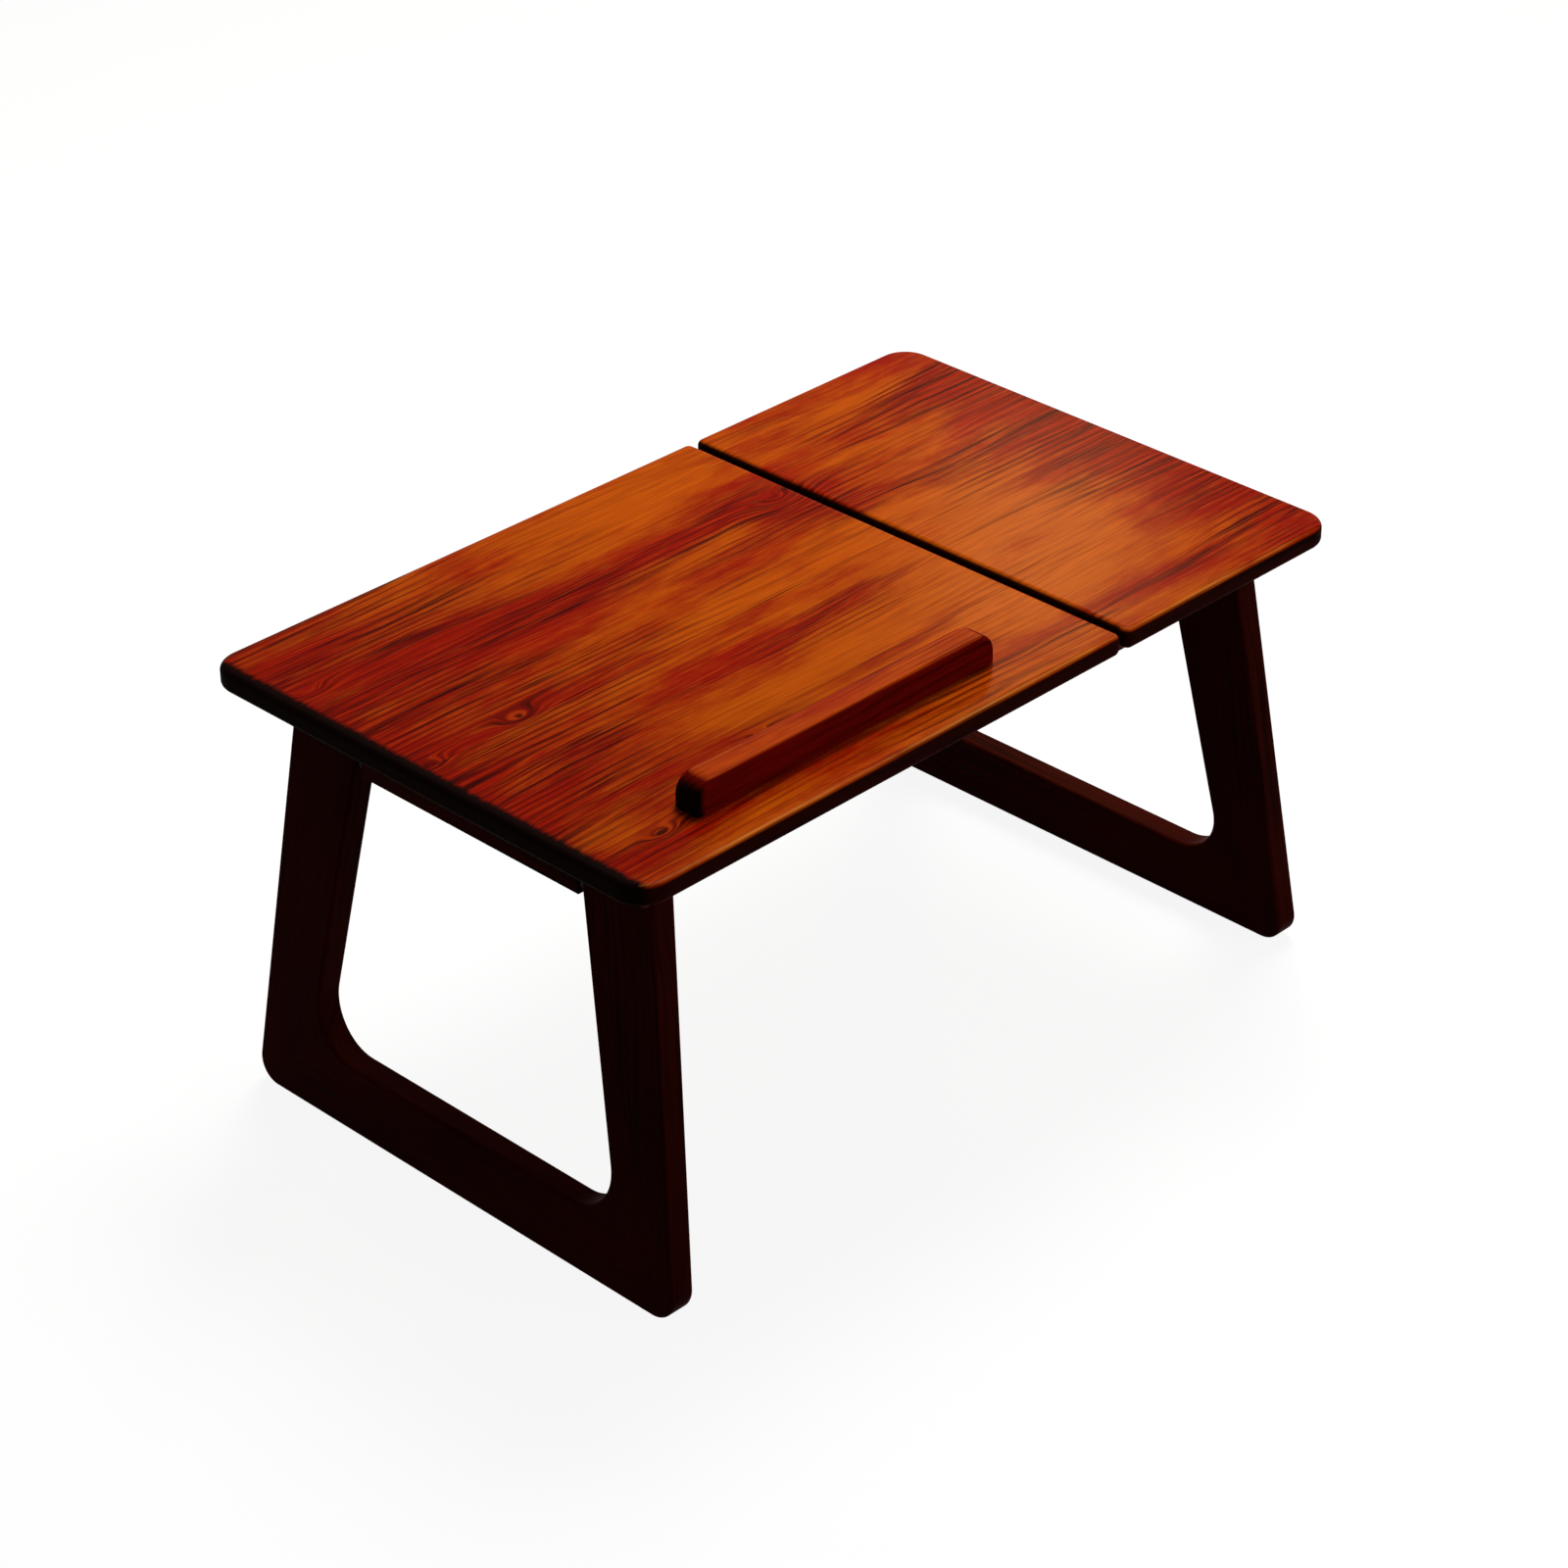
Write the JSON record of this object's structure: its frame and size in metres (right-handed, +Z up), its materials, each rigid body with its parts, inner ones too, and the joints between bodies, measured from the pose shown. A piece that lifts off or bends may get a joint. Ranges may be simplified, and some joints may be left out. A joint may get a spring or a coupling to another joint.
{
  "type": "folding low table",
  "caption": "Low folding wooden table for a floor or bed: a hinged reading board with a stop ledge tilts up on a wire prop beside a fixed board, and leaning leg frames fold flat under it.",
  "frame": {"origin": "on the floor under the middle of the table top", "axes": "+X along the table's length towards the fixed side board, +Z up, the user sits on the -Y side"},
  "size_m": [0.6, 0.368, 0.324],
  "materials": {
    "lacquered_top": "satin lacquer",
    "lacquered_ledge": "satin lacquer",
    "lacquered_legs": "satin lacquer",
    "stained_rails": "stained",
    "bare_dowels": "bare",
    "zinc_steel": "zinc plated",
    "steel_pins": "bright drawn",
    "hinge_brass": "aged",
    "pad_rubber": "matt"
  },
  "bodies": {
    "base": {"side_board": "lacquered_top", "side_board_screws": "zinc_steel", "front_rail": "stained_rails", "rear_rail": "stained_rails", "left_end_rail": "stained_rails", "right_end_rail": "stained_rails", "slot_rail": "stained_rails", "rail_dowels": "bare_dowels", "prop_rack": "stained_rails", "rack_dowels": "bare_dowels", "left_pivot_beam": "stained_rails", "right_pivot_beam": "stained_rails", "beam_screws": "zinc_steel", "pivot_pins": "steel_pins", "pivot_spacers": "steel_pins", "left_hinge_rail_leaf": "hinge_brass", "right_hinge_rail_leaf": "hinge_brass", "left_hinge_pin": "steel_pins", "right_hinge_pin": "steel_pins", "rail_leaf_screws": "zinc_steel"},
    "reading_board": {"tilt_board": "lacquered_top", "stop_ledge": "lacquered_ledge", "ledge_screws": "zinc_steel", "left_hinge_board_leaf": "hinge_brass", "right_hinge_board_leaf": "hinge_brass", "board_leaf_screws": "zinc_steel", "left_bail_clip": "hinge_brass", "right_bail_clip": "hinge_brass", "clip_screws": "zinc_steel"},
    "prop": {"prop_bail": "steel_pins"},
    "left_leg_frame": {"left_front_leg": "lacquered_legs", "left_rear_leg": "lacquered_legs", "left_runner": "lacquered_legs", "left_frame_dowels": "bare_dowels", "left_foot_pads": "pad_rubber"},
    "right_leg_frame": {"right_front_leg": "lacquered_legs", "right_rear_leg": "lacquered_legs", "right_runner": "lacquered_legs", "right_frame_dowels": "bare_dowels", "right_foot_pads": "pad_rubber"}
  },
  "joints": [
    {"name": "board_tilt", "type": "hinge", "parent": "base", "child": "reading_board", "pos_m": [-0.10125, -0.1653, 0.2857], "axis": [1, 0, 0], "range_deg": [0, 35]},
    {"name": "prop_swing", "type": "hinge", "parent": "reading_board", "child": "prop", "pos_m": [-0.10125, -0.0488, 0.2857], "axis": [-1, 0, 0], "range_deg": [0, 70]},
    {"name": "left_fold", "type": "hinge", "parent": "base", "child": "left_leg_frame", "pos_m": [-0.25473, 0, 0.252], "axis": [0, -1, 0], "range_deg": [0, 95.15]},
    {"name": "right_fold", "type": "hinge", "parent": "base", "child": "right_leg_frame", "pos_m": [0.25473, 0, 0.252], "axis": [0, 1, 0], "range_deg": [0, 95.15]}
  ],
  "couplings": [
    {"joint": "prop_swing", "follows": "board_tilt", "ratio": 2}
  ]
}
